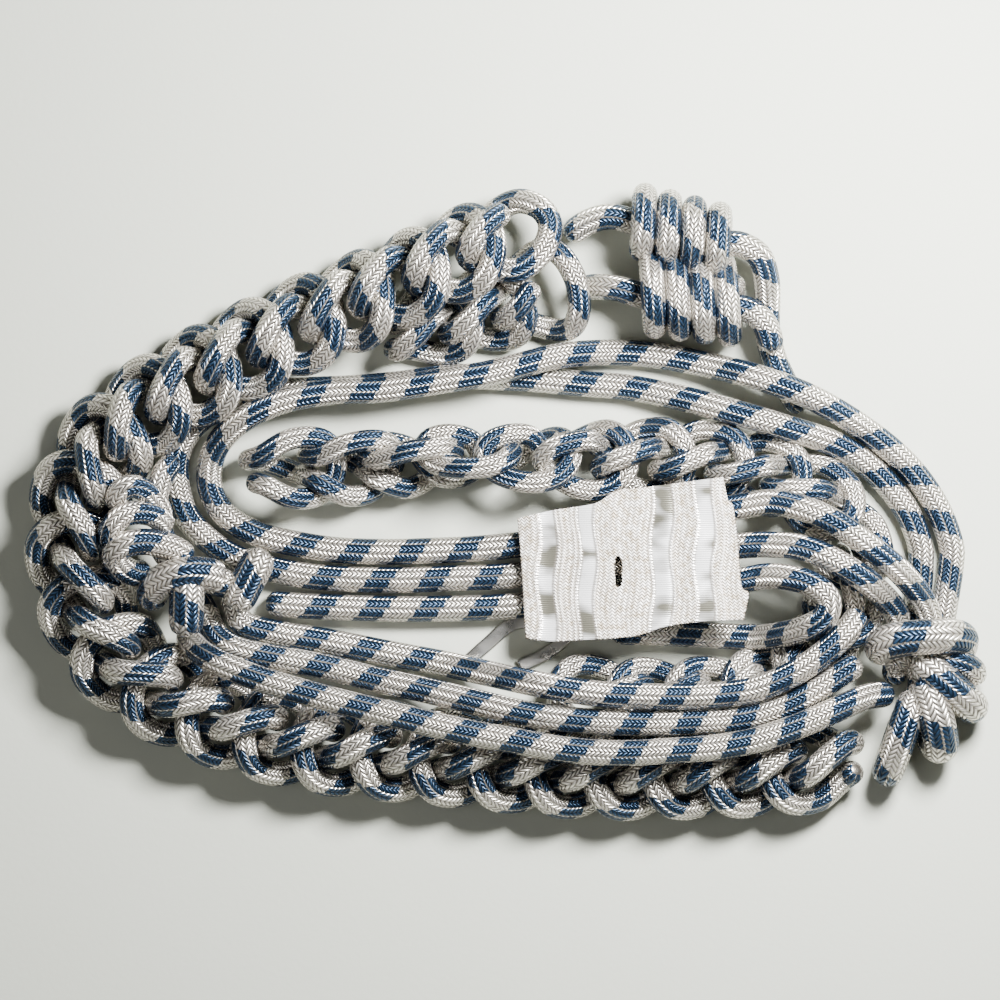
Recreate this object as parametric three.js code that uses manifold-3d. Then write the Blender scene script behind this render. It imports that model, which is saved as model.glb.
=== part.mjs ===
// A corded dress aiguillette, laid folded on a table: three chain plaits, three knots, eight plain cords,
// a woven shoulder tab and the steel hook under it. Millimetres, Z up, X along the folded length.
import * as THREE from 'three';
import { mergeVertices } from 'three/addons/utils/BufferGeometryUtils.js';
import Module from 'manifold-3d';

const wasm = await Module();
wasm.setup();

// Driving sizes
const CORD = 6;
const STITCH_PITCH = 13.4;
const TAB_THICK = 1.4;
const TAB_SLIT = { x: 27.3, y: -16.5, wide: 1.8, long: 7, straight: 3 };
const HOOK_THICK = 1.2;

// Sides round each kind of cord, and the length of one straight step along it
const PLAIN = { sides: 8, step: 13 };
const SHORT = { sides: 8, step: 8 };
const LONG_ROUTE = 15;
const KNOT = { sides: 5, step: 6.2 };
const PLAIT = { sides: 5, step: 6 };
const PLAIT_RADIUS = { outer_plait: 2.1, upper_plait: 1.9, inner_plait: 1.65 };

// A knot strand comes back to itself, so it is swept in lengths no longer than this, each lapping the next
const KNOT_LENGTH = 24;
const KNOT_LAP = 0.4;

// One chain stitch. Along in pitches, across in half widths, height in cord diameters.
const STITCH = [
  { along: 0.16, across: -0.38, height: -0.20 },
  { along: 0.40, across: -0.52, height: 0.51 },
  { along: 0.85, across: -1.00, height: 0.53 },
  { along: 1.28, across: -1.06, height: 0.05 },
  { along: 1.55, across: -0.68, height: -0.38 },
  { along: 1.66, across: 0.00, height: -0.46 },
  { along: 1.55, across: 0.68, height: -0.38 },
  { along: 1.28, across: 1.06, height: 0.05 },
  { along: 0.85, across: 1.00, height: 0.53 },
  { along: 0.40, across: 0.52, height: 0.51 },
  { along: 0.16, across: 0.38, height: -0.20 },
  { along: 0.26, across: 0.36, height: -0.94 },
  { along: 0.60, across: 0.05, height: -1.30 },
  { along: 0.97, across: -0.34, height: -1.02 },
];
const HEAD_AT = 1.66;
const HALF_WIDTH = 1.4;

// Middle lines of the plaits: x, y, z in mm, size of the cord laid there in mm, roll in degrees
const SPINES = {
  outer_plait: [
    [84, -59, 7.3, 5.8, 188],
    [71.5, -61, 7.3, 5.8, 188],
    [55.5, -62, 7.3, 5.7, 188],
    [37, -62.5, 7.3, 5.7, 188],
    [18.5, -62.3, 7.3, 5.7, 188],
    [0, -60.5, 7.4, 5.8, 188],
    [-18.5, -58.5, 7.4, 5.9, 188],
    [-34.5, -57, 7.5, 6, 188],
    [-49.5, -54.5, 7.5, 6, 188],
    [-63.5, -50.5, 7.5, 6, 188],
    [-75.5, -45.5, 7.5, 6, 188],
    [-86, -38.5, 7.5, 6, 188],
    [-93, -29.5, 7.5, 6, 188],
    [-97, -18.5, 7.5, 6, 188],
    [-98, -7, 7.5, 6, 188],
    [-96, 3.5, 7.8, 6, 184],
    [-90.5, 13.5, 8.8, 6, 172],
    [-81, 22, 9.8, 6, 162],
    [-69.5, 29, 10, 6, 160],
    [-58, 35, 10, 6, 160],
    [-46.5, 40.5, 10, 6, 160],
    [-35, 45.5, 10.5, 6, 158],
    [-23.5, 50.5, 13.2, 6, 152],
    [-12, 56, 14.2, 6, 150],
    [-0.5, 60.5, 14, 6, 150],
    [5.5, 62.4, 13, 5.2, 156],
    [11, 63.8, 11.4, 3.9, 164],
  ],
  upper_plait: [
    [-27, 37, 6.3, 5, 188],
    [-20, 39, 6.3, 5, 188],
    [-12.5, 41.5, 6.3, 5.1, 188],
    [-3.5, 44, 6.3, 5.2, 188],
    [6, 46.8, 6.8, 5.8, 188],
    [18, 50.2, 8.4, 7, 182],
  ],
  inner_plait: [
    [-60, 6.5, 8.7, 4.8, 0],
    [-48.5, 7.5, 8.7, 4.8, 8],
    [-34.5, 8, 8.8, 4.8, 28],
    [-18.5, 9, 9.4, 4.8, 58],
    [-4.5, 9, 9.4, 4.8, 92],
    [9, 9.5, 8.6, 4.8, 126],
    [23, 9.5, 7.2, 4.8, 160],
    [37, 9.5, 6, 4.8, 184],
    [49.5, 8.8, 6, 4.8, 188],
    [61, 6.3, 6, 4.8, 188],
    [71, 2.4, 6, 4.8, 188],
    [77.5, -3.5, 6, 4.8, 188],
    [81, -10.5, 6, 4.8, 188],
    [81.5, -18.5, 6, 4.8, 188],
    [78.5, -27, 6, 4.8, 188],
    [73, -35, 6, 4.8, 188],
    [65, -41, 5.8, 4.6, 188],
    [53, -44.4, 5.6, 4.4, 188],
    [39.5, -45.2, 5.5, 4.3, 188],
    [25.5, -44.9, 5.5, 4.3, 188],
    [13, -43.9, 5.5, 4.3, 188],
  ],
};

// Middle lines of the plain cords: x, y, z in mm
const ROUTES = {
  cord_a: [
    [102.3, -29.8, 3.1], [103.6, -22, 3.1], [104.6, -15, 3.1], [104.5, -10, 3.1], [101, -1, 3.1],
    [94.5, 8, 3.1], [85, 16, 5], [72.5, 23.4, 9.3], [60, 28.2, 9.3], [48.5, 31.2, 4.5], [36.5, 33.5, 3.1],
    [25, 34.2, 3.5], [13, 33.2, 7.1], [-1.5, 29.5, 9.6], [-13.5, 27.5, 9.4], [-27, 25.5, 9.4],
    [-38.5, 25, 9.4], [-50.5, 22.8, 9.4], [-59.5, 18.5, 8.6], [-65, 13.3, 6], [-67.3, 7.5, 3.3],
    [-66.8, 1.5, 3.1], [-63, -4, 3.1], [-56, -8, 3.1], [-48, -10, 3.1], [-38.5, -11.5, 3.1],
    [-27, -12, 3.1], [-15, -11.7, 3.1], [-4.5, -11.2, 3.1], [7, -10, 4], [23, -7.5, 6.9], [39.5, -4.5, 10],
    [55.5, -1.5, 12.9], [63, -0.5, 15], [70.5, -2.2, 18], [77.5, -5.5, 19], [84.5, -10.5, 18.5],
    [92, -16.5, 15.5], [97.8, -23.5, 10.6], [99.8, -29.4, 8.3],
  ],
  cord_b: [
    [96.1, -29.8, 3.1], [97.1, -22, 3.1], [97.6, -15, 3.1], [97.3, -10, 3.1], [94, -2, 3.1],
    [87.5, 6, 3.1], [78.5, 12.5, 5], [66.5, 16.6, 9], [54.5, 20.2, 9], [42.5, 23.5, 5], [30.5, 26, 3.1],
    [19, 27, 3.1], [8, 28, 3.1], [-1.5, 28.5, 3.1], [-11.5, 28.5, 3.1], [-23, 27, 3.1], [-34.5, 26, 3.1],
    [-46, 25.5, 3.1], [-56.5, 24.5, 3.1], [-65.5, 21.3, 3.1], [-71.5, 16.8, 3.1], [-74.8, 10.5, 3.1],
    [-75, 4, 3.1], [-72.8, -3.5, 3.1], [-67.5, -9.5, 3.1], [-60, -14, 3.1], [-48.5, -17, 3.1],
    [-37, -18.3, 3.1], [-23, -18.6, 3.1], [-11.5, -18.2, 3.1], [0, -17.8, 3.1], [14, -16.5, 5],
    [27.5, -15, 7.5], [44, -12, 10.6], [56.5, -10.5, 12.9], [63, -10.3, 15], [69.5, -11, 17.8],
    [76.5, -13.8, 19.6], [84, -18.5, 18.8], [89.8, -23.8, 12.5], [92.8, -28.6, 8.4],
  ],
  cord_c: [
    [-54.2, -23.9, 3.1], [-45, -24.6, 3.1], [-27.5, -25.2, 3.1], [-14, -25.2, 3.1], [0, -24.8, 3.1],
    [14, -23.5, 5], [27.5, -22, 7.5], [41.5, -20.5, 10.2], [55.5, -18.5, 12.7], [61.5, -17.5, 15],
    [67.5, -18, 18], [72.2, -19.7, 19.1], [75.3, -22.9, 19.4], [74.6, -26.7, 19.1], [70.4, -29.4, 17.2],
    [65, -31, 11.5], [60.5, -31.7, 6.2], [55.5, -31.7, 3.6], [46, -31.2, 3.2], [36, -30.8, 3.1],
    [26, -30.5, 3.1],
  ],
  cord_l1: [
    [-62.6, -20.6, 3.1], [-61.4, -24.7, 3.1], [-59.2, -28.8, 3.1], [-51, -31, 3.1], [-40.4, -32.7, 3.1],
    [-25.4, -35.6, 3.1], [-13, -37.9, 4], [-3, -40, 9], [8, -42.2, 16], [20, -44.2, 18.2], [32, -45, 18.2],
    [45, -45, 18.2], [57, -43.8, 18.2], [66.2, -40.4, 18.4], [73.5, -35.8, 18], [79.2, -30.8, 16.6],
    [82.9, -25.9, 13.5],
  ],
  cord_l2: [
    [-70.7, -21.4, 3.1], [-68.8, -24.9, 3.1], [-67.1, -28.3, 3.2], [-65.4, -31.7, 4.8],
    [-61.6, -34.3, 6.9], [-55.4, -35.9, 7.2], [-40.4, -38.6, 6], [-29, -41.5, 5.2], [-18.5, -43.7, 7.3],
    [-6, -46.5, 11.4], [6.5, -49.2, 14.8], [18.5, -50.7, 16.3], [32, -51.3, 16.3], [44, -51, 16],
    [56, -50.1, 15.6], [66, -47.2, 15.4], [73.5, -43.1, 15.6], [79, -39.6, 14.9], [82.8, -37.6, 13.6],
  ],
  cord_l3: [
    [-72.8, -30.4, 5.1], [-70.6, -33.6, 9.5], [-66, -36.8, 15], [-55.4, -41, 18], [-40.4, -45.3, 19],
    [-25.4, -49, 19.5], [-10.4, -52.6, 20], [4.6, -55.4, 20], [15, -57.2, 20], [27, -58, 20],
    [40, -57.4, 20], [51, -56.5, 19.9], [61, -54.4, 19.9], [70, -51.2, 19], [78, -47.8, 16.8],
    [84, -45.5, 13], [88, -45, 10], [90.4, -44.9, 8.4],
  ],
  cord_k1: [
    [15.5, 61, 7], [20.8, 64.4, 9], [26, 65.4, 10], [32, 63.8, 10], [39, 62.2, 10], [46, 60.6, 10],
    [52, 59.4, 10], [55.9, 58.9, 10], [59.9, 56.3, 9], [61.7, 51, 6.5], [62, 45.5, 4], [62, 39.5, 3.1],
    [63.5, 33, 3.1], [66.5, 26.3, 3.1], [70, 20.6, 3.1],
  ],
  cord_k2: [
    [19, 49.3, 4], [24, 49.2, 8.5], [28, 48.6, 10], [32, 47.4, 10], [39, 46.4, 10], [46, 45.5, 10],
    [52, 44.6, 10], [56.5, 44.2, 10], [60.2, 41.8, 10], [62.2, 38, 10], [62.8, 34.4, 10],
  ],
};

// Strands of the two tied knots, each fused with the next: radius in mm, then the middle line as x, y, z in
// mm. Where the cord is bent tightest it spreads, and is drawn thicker.
const KNOTS = {
  left_knot: [
    { radius: 3.4, line: [
      [-79, -6, 9.5], [-77, -12, 9.5], [-72, -16, 9.6], [-66, -18.5, 9.8], [-61, -20, 9.8],
    ] },
    { radius: 2.7, line: [
      [-74.8, 9.6, 10], [-77.4, 6.5, 10.8], [-78.8, 2.5, 11], [-79.5, -1.5, 10], [-78, -5, 9.5],
    ] },
    { radius: 2.7, line: [
      [-88.6, -1.7, 13], [-87.8, 1.6, 15], [-84.8, 3.2, 15], [-81.5, 1.9, 13], [-79, -1, 11],
      [-77.5, -5, 9.5],
    ] },
    { radius: 2.8, line: [
      [-89.6, -10.5, 13.5], [-89.6, -7, 16], [-87.2, -3.9, 16.2], [-83.2, -2.9, 14.6],
      [-79.2, -3.9, 12], [-76.4, -6.6, 9.5],
    ] },
    { radius: 3.1, line: [
      [-80.6, -16, 8.6], [-84, -17, 10.2], [-87.5, -15.2, 13], [-88.6, -12.4, 15.4],
      [-86.2, -10.3, 16.4], [-81.7, -9.6, 15.4], [-76.1, -10.8, 13], [-71.5, -13.6, 10],
    ] },
    { radius: 3.8, line: [
      [-64, -17.9, 10], [-68.5, -16.9, 13], [-73.1, -16.9, 14.8], [-77.6, -18.4, 13.5],
      [-80.2, -21.2, 10.5], [-79, -24, 7.8],
    ] },
    { radius: 4.1, line: [
      [-72.1, -17, 11.5], [-72.1, -22.5, 14.2], [-72.2, -27.4, 14.6], [-72.3, -31, 13.6],
    ] },
    { radius: 4, line: [
      [-54.6, -12, 10], [-56, -14.6, 10.9], [-58, -18.4, 11], [-60, -22.4, 10.6], [-61.2, -25.2, 10.4],
    ] },
  ],
  corner_knot: [
    { radius: 3.8, line: [
      [94, -34.6, 6.5], [97, -38, 7], [98, -43, 7], [96.5, -48, 7],
    ] },
    { radius: 4.1, line: [
      [88, -35.4, 8.6], [88.4, -33.2, 13.6], [92.6, -31.9, 16.4], [98.5, -31.4, 16.4],
      [103.2, -31.3, 14.6], [106.4, -32.2, 10], [105.6, -34.8, 5.6], [101, -36.8, 5], [97, -38.5, 6],
    ] },
    { radius: 2.9, line: [
      [101, -36.4, 9.5], [104, -36.6, 11], [107.4, -37.8, 10], [109.8, -40, 7], [107, -40, 4.6],
      [101, -39, 4.6],
    ] },
    { radius: 4, line: [
      [96.6, -36.9, 10.5], [100, -39.9, 13], [104, -43.4, 13.2], [108, -46.8, 10.5], [108.6, -47.4, 6],
      [103, -43.4, 4.6], [98, -41, 5.6],
    ] },
    { radius: 4.2, line: [
      [97.6, -41.5, 11], [99.6, -47, 12.8], [101, -52, 12], [101.8, -56.6, 8.6], [100.4, -55, 4.8],
      [98.6, -48, 4.8],
    ] },
    { radius: 3.7, line: [
      [96, -44.5, 10], [93.8, -50.5, 11.6], [91.8, -56.5, 11], [89.8, -62.4, 7.8], [90.8, -60, 4.2],
      [94, -51, 4.6], [96, -47, 5.6],
    ] },
    { radius: 2.8, line: [
      [94.6, -38.6, 8.8], [92.6, -36.9, 8.4], [91, -39.2, 6.4], [93, -42, 5.6],
    ] },
    { radius: 3.1, line: [
      [98, -44, 9], [94.6, -44.9, 9.2],
    ] },
  ],
};

// The slide knot: figure of eight turns round its two cords, shrinking to the taper's share at the last.
// Thin is the radius drawn, so that turns stay apart.
const SLIDE = {
  from: [31.5, 55.7], to: [54.5, 51.5], z: 10, turns: 4, lobe: 8.2, radius: 7, taper: 0.9, thin: 2.6,
};

// How far a cutting shape reaches past the piece that it cuts
const SPARE = 5;

// The tab: its profile along X as x and underside z, and its outline as x, y
const TAB_PROFILE = [
  [3, 6.9], [8, 8.1], [12.5, 8.6], [18.5, 9.9], [36, 13.2], [41, 13.8], [46.5, 15.2], [51.5, 15.6],
  [58, 17.1],
];
const TAB_OUTLINE = [
  [4.2, -4.2], [12.7, -2.3], [22.2, -0.7], [26.8, 2.1], [34.4, 3.0], [51.3, 5.3], [52.4, 0], [53.6, -1.8],
  [54.7, -12.2], [55.4, -19.9], [57.0, -21.5], [55.9, -27.5], [47.1, -27.9], [38.3, -29.1], [30.7, -31.4],
  [18.5, -32.3], [11.5, -32.6], [6.2, -31.9], [5.8, -27.5], [5.3, -18],
];

// The hook: the middle line of its flat strip as x, y
const HOOK_LINE = [
  [-8, -38], [-3, -33.5], [2.5, -29], [8, -28.3], [13, -29.6], [15, -31.8], [11, -35.5], [4.5, -38.8],
];
const HOOK_WIDE = 3.2;
const HOOK_Z = 0;

// Colours and surfaces
const COATS = {
  plait: { color: 0xb9b3a8, roughness: 0.42, metalness: 0.35 },
  cord: { color: 0xb4b2ad, roughness: 0.42, metalness: 0.35 },
  tab: { color: 0xd6d0c6, roughness: 0.55, metalness: 0.2 },
  steel: { color: 0x4b4f52, roughness: 0.25, metalness: 0.9 },
};

const vector = (row) => new THREE.Vector3(row[0], row[1], row[2]);

function smoothLine(rows) {
  const line = new THREE.CatmullRomCurve3(rows.map(vector), false, 'catmullrom', 0.5);
  line.arcLengthDivisions = rows.length * 24;
  return line;
}

function polygon(sides, radius) {
  const corners = [];
  for (let i = 0; i < sides; i += 1) {
    const turn = (2 * Math.PI * (i + 0.5)) / sides;
    corners.push(new THREE.Vector2(radius * Math.cos(turn), radius * Math.sin(turn)));
  }
  return new THREE.Shape(corners);
}

// A round cord: a polygon drawn along a smooth line
function tube(rows, kind) {
  const line = smoothLine(rows);
  const steps = Math.min(80, Math.max(4, Math.round(line.getLength() / kind.step)));
  return sweep(line, steps, kind.sides, CORD / 2);
}

// A length of a longer line, between two shares of its whole length
class Stretch extends THREE.Curve {
  constructor(line, from, to) {
    super();
    Object.assign(this, { line, from, to });
  }

  getPoint(share, target = new THREE.Vector3()) {
    return this.line.getPointAt(this.from + (this.to - this.from) * share, target);
  }
}

// The lengths of one knot strand, as solids
function knotLengths({ radius, line: rows }) {
  const line = smoothLine(rows);
  const whole = line.getLength();
  const count = Math.ceil(whole / KNOT_LENGTH);
  const lap = KNOT_LAP / whole;
  const solids = [];
  for (let i = 0; i < count; i += 1) {
    const stretch = new Stretch(line, Math.max(0, i / count - lap), Math.min(1, (i + 1) / count + lap));
    const steps = Math.max(2, Math.round(stretch.getLength() / KNOT.step));
    solids.push(toSolid(sweep(stretch, steps, KNOT.sides, radius)));
  }
  return solids;
}

function sweep(line, steps, sides, radius) {
  return new THREE.ExtrudeGeometry(polygon(sides, radius), { steps, extrudePath: line, bevelEnabled: false });
}

// Closed triangle mesh to solid and back
function toSolid(geometry) {
  const bare = geometry.clone();
  bare.deleteAttribute('normal');
  bare.deleteAttribute('uv');
  const merged = mergeVertices(bare, 1e-4);
  const index = Uint32Array.from(merged.index.array);
  const places = Float32Array.from(merged.attributes.position.array);
  let solid = new wasm.Manifold(new wasm.Mesh({ numProp: 3, vertProperties: places, triVerts: index }));
  if (solid.volume() < 0) {
    for (let i = 0; i < index.length; i += 3) {
      [index[i], index[i + 1]] = [index[i + 1], index[i]];
    }
    solid = new wasm.Manifold(new wasm.Mesh({ numProp: 3, vertProperties: places, triVerts: index }));
  }
  return solid;
}

function toGeometry(solid) {
  const mesh = solid.getMesh();
  const geometry = new THREE.BufferGeometry();
  geometry.setAttribute('position', new THREE.BufferAttribute(Float32Array.from(mesh.vertProperties), 3));
  geometry.setIndex(Array.from(mesh.triVerts));
  geometry.computeVertexNormals();
  return geometry;
}

// Joins solids, fills the small voids shut between strands and leaves one body
function fuse(solids) {
  let whole = solids[0];
  for (const solid of solids.slice(1)) {
    whole = whole.add(solid);
  }
  return oneBody(oneBody(whole).simplify(0.3));
}

function oneBody(solid) {
  const bodies = solid.decompose().filter((body) => body.volume() > 0.5);
  if (bodies.length !== 1) {
    const corners = bodies.map((body) => body.boundingBox().min.join(' '));
    throw new Error(`strands stand apart: ${corners.join(' | ')}`);
  }
  return bodies[0];
}

// Stitches laid along a middle line, each of them a chain loop through the one before
function plaitLine(rows) {
  const spine = smoothLine(rows);
  const length = spine.getLength();
  const stitches = Math.round(length / STITCH_PITCH - (HEAD_AT - 1));
  const pitch = length / (stitches + HEAD_AT - 1);
  const points = [];
  for (let i = 0; i < stitches; i += 1) {
    for (const { along, across, height } of STITCH) {
      const share = Math.min(1, ((i + along) * pitch) / length);
      const place = spine.getPointAt(share);
      const onward = spine.getTangentAt(share);
      const left = new THREE.Vector3(-onward.y, onward.x, 0).normalize();
      const up = new THREE.Vector3().crossVectors(onward, left);
      const at = spine.getUtoTmapping(share) * (rows.length - 1);
      const low = Math.min(rows.length - 2, Math.floor(at));
      const size = THREE.MathUtils.lerp(rows[low][3], rows[low + 1][3], at - low);
      const roll = THREE.MathUtils.degToRad(THREE.MathUtils.lerp(rows[low][4], rows[low + 1][4], at - low));
      const side = across * HALF_WIDTH * size;
      const rise = height * size;
      place.addScaledVector(left, side * Math.cos(roll) - rise * Math.sin(roll));
      place.addScaledVector(up, side * Math.sin(roll) + rise * Math.cos(roll));
      points.push(place);
    }
  }
  return points;
}

// The strands of a plait pass each other without touching, so one sweep is one solid
function plaitGeometry(name) {
  const points = plaitLine(SPINES[name]);
  const line = new THREE.CatmullRomCurve3(points, false, 'catmullrom', 0.5);
  line.arcLengthDivisions = points.length * 12;
  return sweep(line, Math.round(line.getLength() / PLAIT.step), PLAIT.sides, PLAIT_RADIUS[name]);
}

function knotGeometry(strands) {
  return toGeometry(fuse(strands.flatMap(knotLengths)));
}

// Figure of eight turns, from the back of one lobe to the front of the other
function slideKnotGeometry({ from, to, z, turns, lobe, radius, taper, thin }) {
  const perTurn = 12;
  const strands = [];
  for (let turn = 0; turn < turns; turn += 1) {
    const rows = [];
    for (let i = 0; i <= perTurn; i += 1) {
      const share = (turn + 0.15 + (0.78 * i) / perTurn) / turns;
      const angle = (2 * Math.PI * i) / perTurn;
      const upper = angle <= Math.PI;
      const round = 2 * (upper ? angle : angle - Math.PI) - Math.PI / 2;
      const size = 1 + (taper - 1) * share;
      const across = (upper ? size : -size) * (lobe + radius * Math.sin(round));
      rows.push([
        from[0] + (to[0] - from[0]) * share,
        from[1] + (to[1] - from[1]) * share + across,
        z + size * radius * Math.cos(round),
      ]);
    }
    strands.push({ radius: thin, line: rows });
  }
  return knotGeometry(strands);
}

// A flat shape stood up from z = low to z = high
function prism(rows, low, high) {
  const shape = new THREE.Shape(rows.map(([x, y]) => new THREE.Vector2(x, y)));
  const geometry = new THREE.ExtrudeGeometry(shape, { depth: high - low, bevelEnabled: false });
  geometry.translate(0, 0, low);
  return geometry;
}

// The tab: a bent sheet cut to its outline, with the slit for a button
function tabGeometry() {
  const above = TAB_PROFILE.map(([x, z]) => [x, z + TAB_THICK]).reverse();
  const edges = TAB_OUTLINE.map(([, y]) => y);
  const back = Math.max(...edges) + SPARE;
  const front = Math.min(...edges) - SPARE;
  const over = Math.max(...above.map(([, z]) => z)) + SPARE;
  const sheet = prism([...TAB_PROFILE, ...above], 0, back - front);
  sheet.rotateX(Math.PI / 2);
  sheet.translate(0, back, 0);
  const { x, y, wide, long, straight } = TAB_SLIT;
  const slit = prism([
    [x, y - long / 2], [x + wide / 2, y - straight / 2], [x + wide / 2, y + straight / 2],
    [x, y + long / 2], [x - wide / 2, y + straight / 2], [x - wide / 2, y - straight / 2],
  ], -SPARE, over);
  const outline = prism(TAB_OUTLINE, -SPARE, over);
  return toGeometry(toSolid(sheet).intersect(toSolid(outline)).subtract(toSolid(slit)));
}

// The hook: a strip of even width bent in its own plane
function hookGeometry() {
  const line = new THREE.SplineCurve(HOOK_LINE.map(([x, y]) => new THREE.Vector2(x, y)));
  const left = [];
  const right = [];
  const steps = 22;
  for (let i = 0; i <= steps; i += 1) {
    const place = line.getPointAt(i / steps);
    const onward = line.getTangentAt(i / steps);
    left.push([place.x - (onward.y * HOOK_WIDE) / 2, place.y + (onward.x * HOOK_WIDE) / 2]);
    right.unshift([place.x + (onward.y * HOOK_WIDE) / 2, place.y - (onward.x * HOOK_WIDE) / 2]);
  }
  return prism([...left, ...right], HOOK_Z, HOOK_Z + HOOK_THICK);
}

function addPiece(group, name, geometry, coat) {
  const mesh = new THREE.Mesh(geometry, new THREE.MeshStandardMaterial(COATS[coat]));
  mesh.name = name;
  group.add(mesh);
}

const aiguillette = new THREE.Group();
for (const name of Object.keys(SPINES)) {
  addPiece(aiguillette, name, plaitGeometry(name), 'plait');
}
for (const [name, rows] of Object.entries(ROUTES)) {
  addPiece(aiguillette, name, tube(rows, rows.length > LONG_ROUTE ? PLAIN : SHORT), 'cord');
}
addPiece(aiguillette, 'slide_knot', slideKnotGeometry(SLIDE), 'plait');
addPiece(aiguillette, 'left_knot', knotGeometry(KNOTS.left_knot), 'plait');
addPiece(aiguillette, 'corner_knot', knotGeometry(KNOTS.corner_knot), 'plait');
addPiece(aiguillette, 'shoulder_tab', tabGeometry(), 'tab');
addPiece(aiguillette, 'tab_hook', hookGeometry(), 'steel');

// The origin is the middle of the footprint, on the table
const box = new THREE.Box3().setFromObject(aiguillette);
const middle = box.getCenter(new THREE.Vector3());
aiguillette.position.set(-middle.x, -middle.y, -box.min.z);

export default aiguillette;
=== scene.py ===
"""The look of a corded dress aiguillette, laid folded on pale paper.
Tables are in mm and become metres through MM."""

import bpy
import numpy as np
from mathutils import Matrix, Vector


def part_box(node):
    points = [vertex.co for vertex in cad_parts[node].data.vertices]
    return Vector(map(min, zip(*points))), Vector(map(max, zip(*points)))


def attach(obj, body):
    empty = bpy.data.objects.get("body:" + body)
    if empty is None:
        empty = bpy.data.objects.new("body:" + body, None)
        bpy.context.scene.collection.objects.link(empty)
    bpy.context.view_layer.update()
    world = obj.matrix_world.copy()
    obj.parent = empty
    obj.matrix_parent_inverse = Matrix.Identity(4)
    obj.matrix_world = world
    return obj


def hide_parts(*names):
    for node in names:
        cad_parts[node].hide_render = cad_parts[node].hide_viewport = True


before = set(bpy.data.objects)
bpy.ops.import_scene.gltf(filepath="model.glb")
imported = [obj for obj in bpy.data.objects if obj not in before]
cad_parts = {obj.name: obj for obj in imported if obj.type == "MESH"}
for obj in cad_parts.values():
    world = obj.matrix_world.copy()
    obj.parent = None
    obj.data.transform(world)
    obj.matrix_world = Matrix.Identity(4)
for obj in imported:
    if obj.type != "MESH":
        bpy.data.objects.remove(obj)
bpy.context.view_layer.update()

# One mm in m
MM = 0.001
# Driving sizes: the cord and the pitch of a stitch in mm, and half a stitch's width in cord diameters
CORD = 6.0
STITCH_PITCH = 13.4
HALF_WIDTH = 1.4
# How the cords are drawn: points round a cord and a plait's cord, mm from ring to ring, points of a line from
# one table row to the next, the share of the radius left at a tip, and how far a cord stays above the paper.
# A line that starts less than upright off the vertical takes x as its side.
CORD_ROUND = 24
PLAIT_ROUND = 20
RING_EVERY = 1.1
PER_POINT = 24
TIP_SHARE = 0.45
FLOOR_GAP = 0.05
UPRIGHT = 0.05
# The drawn radius of each plait's cord, in mm
PLAIT_RADIUS = {"outer_plait": 2.9, "upper_plait": 2.7, "inner_plait": 2.5}

# The braid of the cord: columns round it, the threads' pitch and height in mm, how many threads a chevron's
# arm leans over in a column's width, and the share of its height that a thread loses at the ends of its arm
ROWS_ROUND = 8
THREAD_PITCH = 1.05
THREAD_HIGH = 0.32
THREAD_LEAN = 2.2
THREAD_DIP = 0.6
# The blue dashes: mm from one to the next and the share of that in blue. Across, as shares of a column: the
# middle, half the width between two threads, and how much more of it there is on a thread's crest.
FLECK_REPEAT = 12.6
FLECK_SHARE = 0.45
FLECK_MIDDLE = 0.44
FLECK_HALF_WIDTH = 0.36
FLECK_SPREAD = 0.1
# How metallic wire and silk are, and the roughness of the smoothest and the roughest thread
WIRE_METAL = 0.88
SILK_METAL = 0.8
THREAD_ROUGH = (0.24, 0.38)

# The tab, in mm. Flat is its width along the bands and across them.
TAB_FLAT = (34, 50)
TAB_THICK = 1.4
TAB_CELL = 0.35
TAB_SLIT = {"x": 27.3, "y": -16.5, "wide": 1.8, "long": 7.0}
# The height of the tab's underside for each x
TAB_PROFILE = [
    (3, 6.9), (8, 8.1), (12.5, 8.6), (18.5, 9.9), (36, 13.2), (41, 13.8), (46.5, 15.2), (51.5, 15.6),
    (58, 17.1),
]
# The tab's four edges, each from left to right or from bottom to top
TAB_TOP = [(4.2, -4.2), (12.7, -2.3), (22.2, -0.7), (26.8, 2.1), (34.4, 3.0), (51.3, 5.3)]
TAB_BOTTOM = [
    (6.2, -31.9), (11.5, -32.6), (18.5, -32.3), (30.7, -31.4), (38.3, -29.1), (47.1, -27.9), (55.9, -27.5),
]
TAB_LEFT = [(6.2, -31.9), (5.8, -27.5), (5.3, -18), (4.2, -4.2)]
TAB_RIGHT = [
    (55.9, -27.5), (57, -21.5), (55.4, -19.9), (54.7, -12.2), (53.6, -1.8), (52.4, 0), (51.3, 5.3),
]
# Where the lace's bands begin, and 1 where the band is satin
TAB_BANDS = [
    (0, 0), (8.8, 1), (13.2, 0), (14.4, 0), (17.2, 0), (18.3, 1), (22.2, 0), (35.0, 1), (39.8, 0), (45.0, 1),
    (49.3, 0), (51.2, 0),
]
# How far the bands sway and how high the sheet waves. Long and wide are the lengths of a wave along the bands
# and across them, and lean is the x in which a wave along the bands moves on by one radian.
TAB_SWAY = {"far": 0.5, "long": 19, "lean": 7}
TAB_WAVE = {"high": 0.16, "long": 13, "lean": 2.4, "wide": 6.1}
# Half the width of a seam
TAB_SEAM = 0.8
# The lace's threads: half a column of the matt weave, its stitch, the satin's floats and the beads of a seam.
# The real ones are finer, and are drawn as coarse as it takes to show them.
LACE_COLUMN = 0.6
LACE_STITCH = 0.75
LACE_FLOAT = 0.5
LACE_BEAD = 0.7
# How high a matt stitch stands, and the floats and the beads as shares of that
LACE_HIGH = 0.22
FLOAT_SHARE = 0.35
BEAD_SHARE = 1.4
# How dark the painted shade in the groove next to a seam gets
SEAM_GROOVE_SHADE = 0.8
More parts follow.
